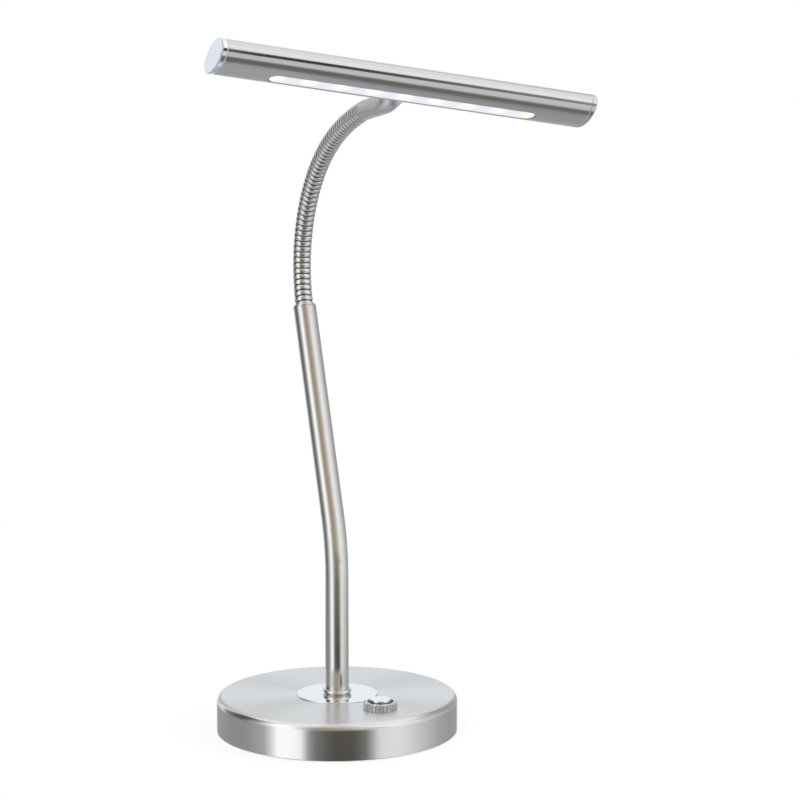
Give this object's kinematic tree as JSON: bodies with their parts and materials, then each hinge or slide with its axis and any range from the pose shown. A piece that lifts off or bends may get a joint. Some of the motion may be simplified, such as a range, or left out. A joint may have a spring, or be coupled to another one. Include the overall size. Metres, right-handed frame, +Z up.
{
  "type": "piano lamp",
  "caption": "Piano lamp with a weighted round base, a push switch, a bent stem, a gooseneck and a flat oval LED bar head that swivels.",
  "frame": {"origin": "centre of the base's underside, where it stands", "axes": "+Z up, +X along the head's bar, -Y to the front, the way the neck reaches"},
  "size_m": [0.2362, 0.2059, 0.4389],
  "materials": {
    "brushed_nickel": "satin",
    "polished_nickel": "polished",
    "neck_nickel": "satin",
    "matte_nickel": "matte",
    "cast_iron": "rough",
    "zinc_steel": "zinc",
    "felt_black": "matte",
    "black_plastic": "matte",
    "green_board": "satin",
    "brass_contact": "plain",
    "lead_jacket": "matte",
    "aluminium_carrier": "mill",
    "white_board": "satin",
    "led_phosphor": "satin",
    "lens_acrylic": "frosted"
  },
  "bodies": {
    "base": {"base_shell": "brushed_nickel", "base_weight": "cast_iron", "base_plate": "zinc_steel", "base_screws": "zinc_steel", "foot_pad": "felt_black", "driver_tray": "black_plastic", "driver_board": "green_board", "driver_components": "black_plastic", "cable_grommet": "black_plastic", "escutcheon": "polished_nickel", "stem_collar": "polished_nickel", "stem_tube": "brushed_nickel", "stem_bush": "zinc_steel", "stem_nipple": "zinc_steel", "stem_washer": "zinc_steel", "stem_nut": "zinc_steel", "stem_lead": "lead_jacket", "switch_housing": "black_plastic", "switch_ring": "polished_nickel", "switch_spring": "zinc_steel", "switch_terminals": "brass_contact", "switch_lead": "lead_jacket", "neck_socket": "polished_nickel", "neck_lead": "lead_jacket", "neck_segment_01": "neck_nickel"},
    "button": {"switch_button": "polished_nickel"},
    "neck_02": {"neck_segment_02": "neck_nickel"},
    "neck_03": {"neck_segment_03": "neck_nickel"},
    "neck_04": {"neck_segment_04": "neck_nickel"},
    "neck_05": {"neck_segment_05": "neck_nickel"},
    "neck_06": {"neck_segment_06": "neck_nickel"},
    "neck_07": {"neck_segment_07": "neck_nickel"},
    "neck_08": {"neck_segment_08": "neck_nickel"},
    "neck_09": {"neck_segment_09": "neck_nickel"},
    "neck_10": {"neck_segment_10": "neck_nickel"},
    "neck_11": {"neck_segment_11": "neck_nickel"},
    "neck_12": {"neck_segment_12": "neck_nickel", "head_ferrule": "matte_nickel", "swivel_washer": "zinc_steel"},
    "head": {"swivel_retainer": "zinc_steel", "head_stub": "matte_nickel", "stub_nut": "zinc_steel", "head_shell": "brushed_nickel", "end_cap_left": "polished_nickel", "end_cap_right": "polished_nickel", "light_lens": "lens_acrylic", "led_carrier": "aluminium_carrier", "led_board": "white_board", "led_packages": "led_phosphor", "led_screws": "zinc_steel", "head_lead": "lead_jacket"}
  },
  "joints": [
    {"name": "neck_bend_1", "type": "hinge", "parent": "base", "child": "neck_02", "pos_m": [0, 0.05947, 0.28421], "axis": [1, 0, 0], "range_deg": [-10, 7], "deforming": ["neck_lead"]},
    {"name": "neck_sway_1", "type": "hinge", "parent": "neck_02", "child": "neck_03", "pos_m": [0, 0.0601, 0.29986], "axis": [0, 0.9982, 0.0591], "range_deg": [-6, 6], "deforming": ["neck_lead"]},
    {"name": "neck_bend_2", "type": "hinge", "parent": "neck_03", "child": "neck_04", "pos_m": [0, 0.05763, 0.31533], "axis": [1, 0, 0], "range_deg": [-10, 7]},
    {"name": "neck_sway_2", "type": "hinge", "parent": "neck_04", "child": "neck_05", "pos_m": [0, 0.05233, 0.33008], "axis": [0, 0.9081, 0.4188], "range_deg": [-6, 6]},
    {"name": "neck_bend_3", "type": "hinge", "parent": "neck_05", "child": "neck_06", "pos_m": [0, 0.04456, 0.34368], "axis": [1, 0, 0], "range_deg": [-10, 7]},
    {"name": "neck_sway_3", "type": "hinge", "parent": "neck_06", "child": "neck_07", "pos_m": [0, 0.03469, 0.35585], "axis": [0, 0.7282, 0.6854], "range_deg": [-6, 6]},
    {"name": "neck_bend_4", "type": "hinge", "parent": "neck_07", "child": "neck_08", "pos_m": [0, 0.02314, 0.36643], "axis": [1, 0, 0], "range_deg": [-10, 7]},
    {"name": "neck_sway_4", "type": "hinge", "parent": "neck_08", "child": "neck_09", "pos_m": [0, 0.01028, 0.37539], "axis": [0, 0.5222, 0.8528], "range_deg": [-6, 6]},
    {"name": "neck_bend_5", "type": "hinge", "parent": "neck_09", "child": "neck_10", "pos_m": [0, -0.00353, 0.38277], "axis": [1, 0, 0], "range_deg": [-10, 7]},
    {"name": "neck_sway_5", "type": "hinge", "parent": "neck_10", "child": "neck_11", "pos_m": [0, -0.01802, 0.38874], "axis": [0, 0.3444, 0.9388], "range_deg": [-6, 6]},
    {"name": "neck_bend_6", "type": "hinge", "parent": "neck_11", "child": "neck_12", "pos_m": [0, -0.03293, 0.39355], "axis": [1, 0, 0], "range_deg": [-10, 7]},
    {"name": "head_swivel", "type": "hinge", "parent": "neck_12", "child": "head", "pos_m": [0, -0.07345, 0.40095], "axis": [0, -0.9912, 0.1323], "range_deg": [-80, 95]},
    {"name": "button_press", "type": "slide", "parent": "base", "child": "button", "axis": [0, 0, 1], "range_m": [-0.0022, 0], "stiffness_N_per_m": 800, "springref_m": 0.001, "deforming": ["switch_spring"]}
  ],
  "couplings": [
    {"joint": "neck_bend_2", "follows": "neck_bend_1", "ratio": 1},
    {"joint": "neck_sway_2", "follows": "neck_sway_1", "ratio": 1},
    {"joint": "neck_bend_3", "follows": "neck_bend_1", "ratio": 1},
    {"joint": "neck_sway_3", "follows": "neck_sway_1", "ratio": 1},
    {"joint": "neck_bend_4", "follows": "neck_bend_1", "ratio": 1},
    {"joint": "neck_sway_4", "follows": "neck_sway_1", "ratio": 1},
    {"joint": "neck_bend_5", "follows": "neck_bend_1", "ratio": 1},
    {"joint": "neck_sway_5", "follows": "neck_sway_1", "ratio": 1},
    {"joint": "neck_bend_6", "follows": "neck_bend_1", "ratio": 1}
  ]
}
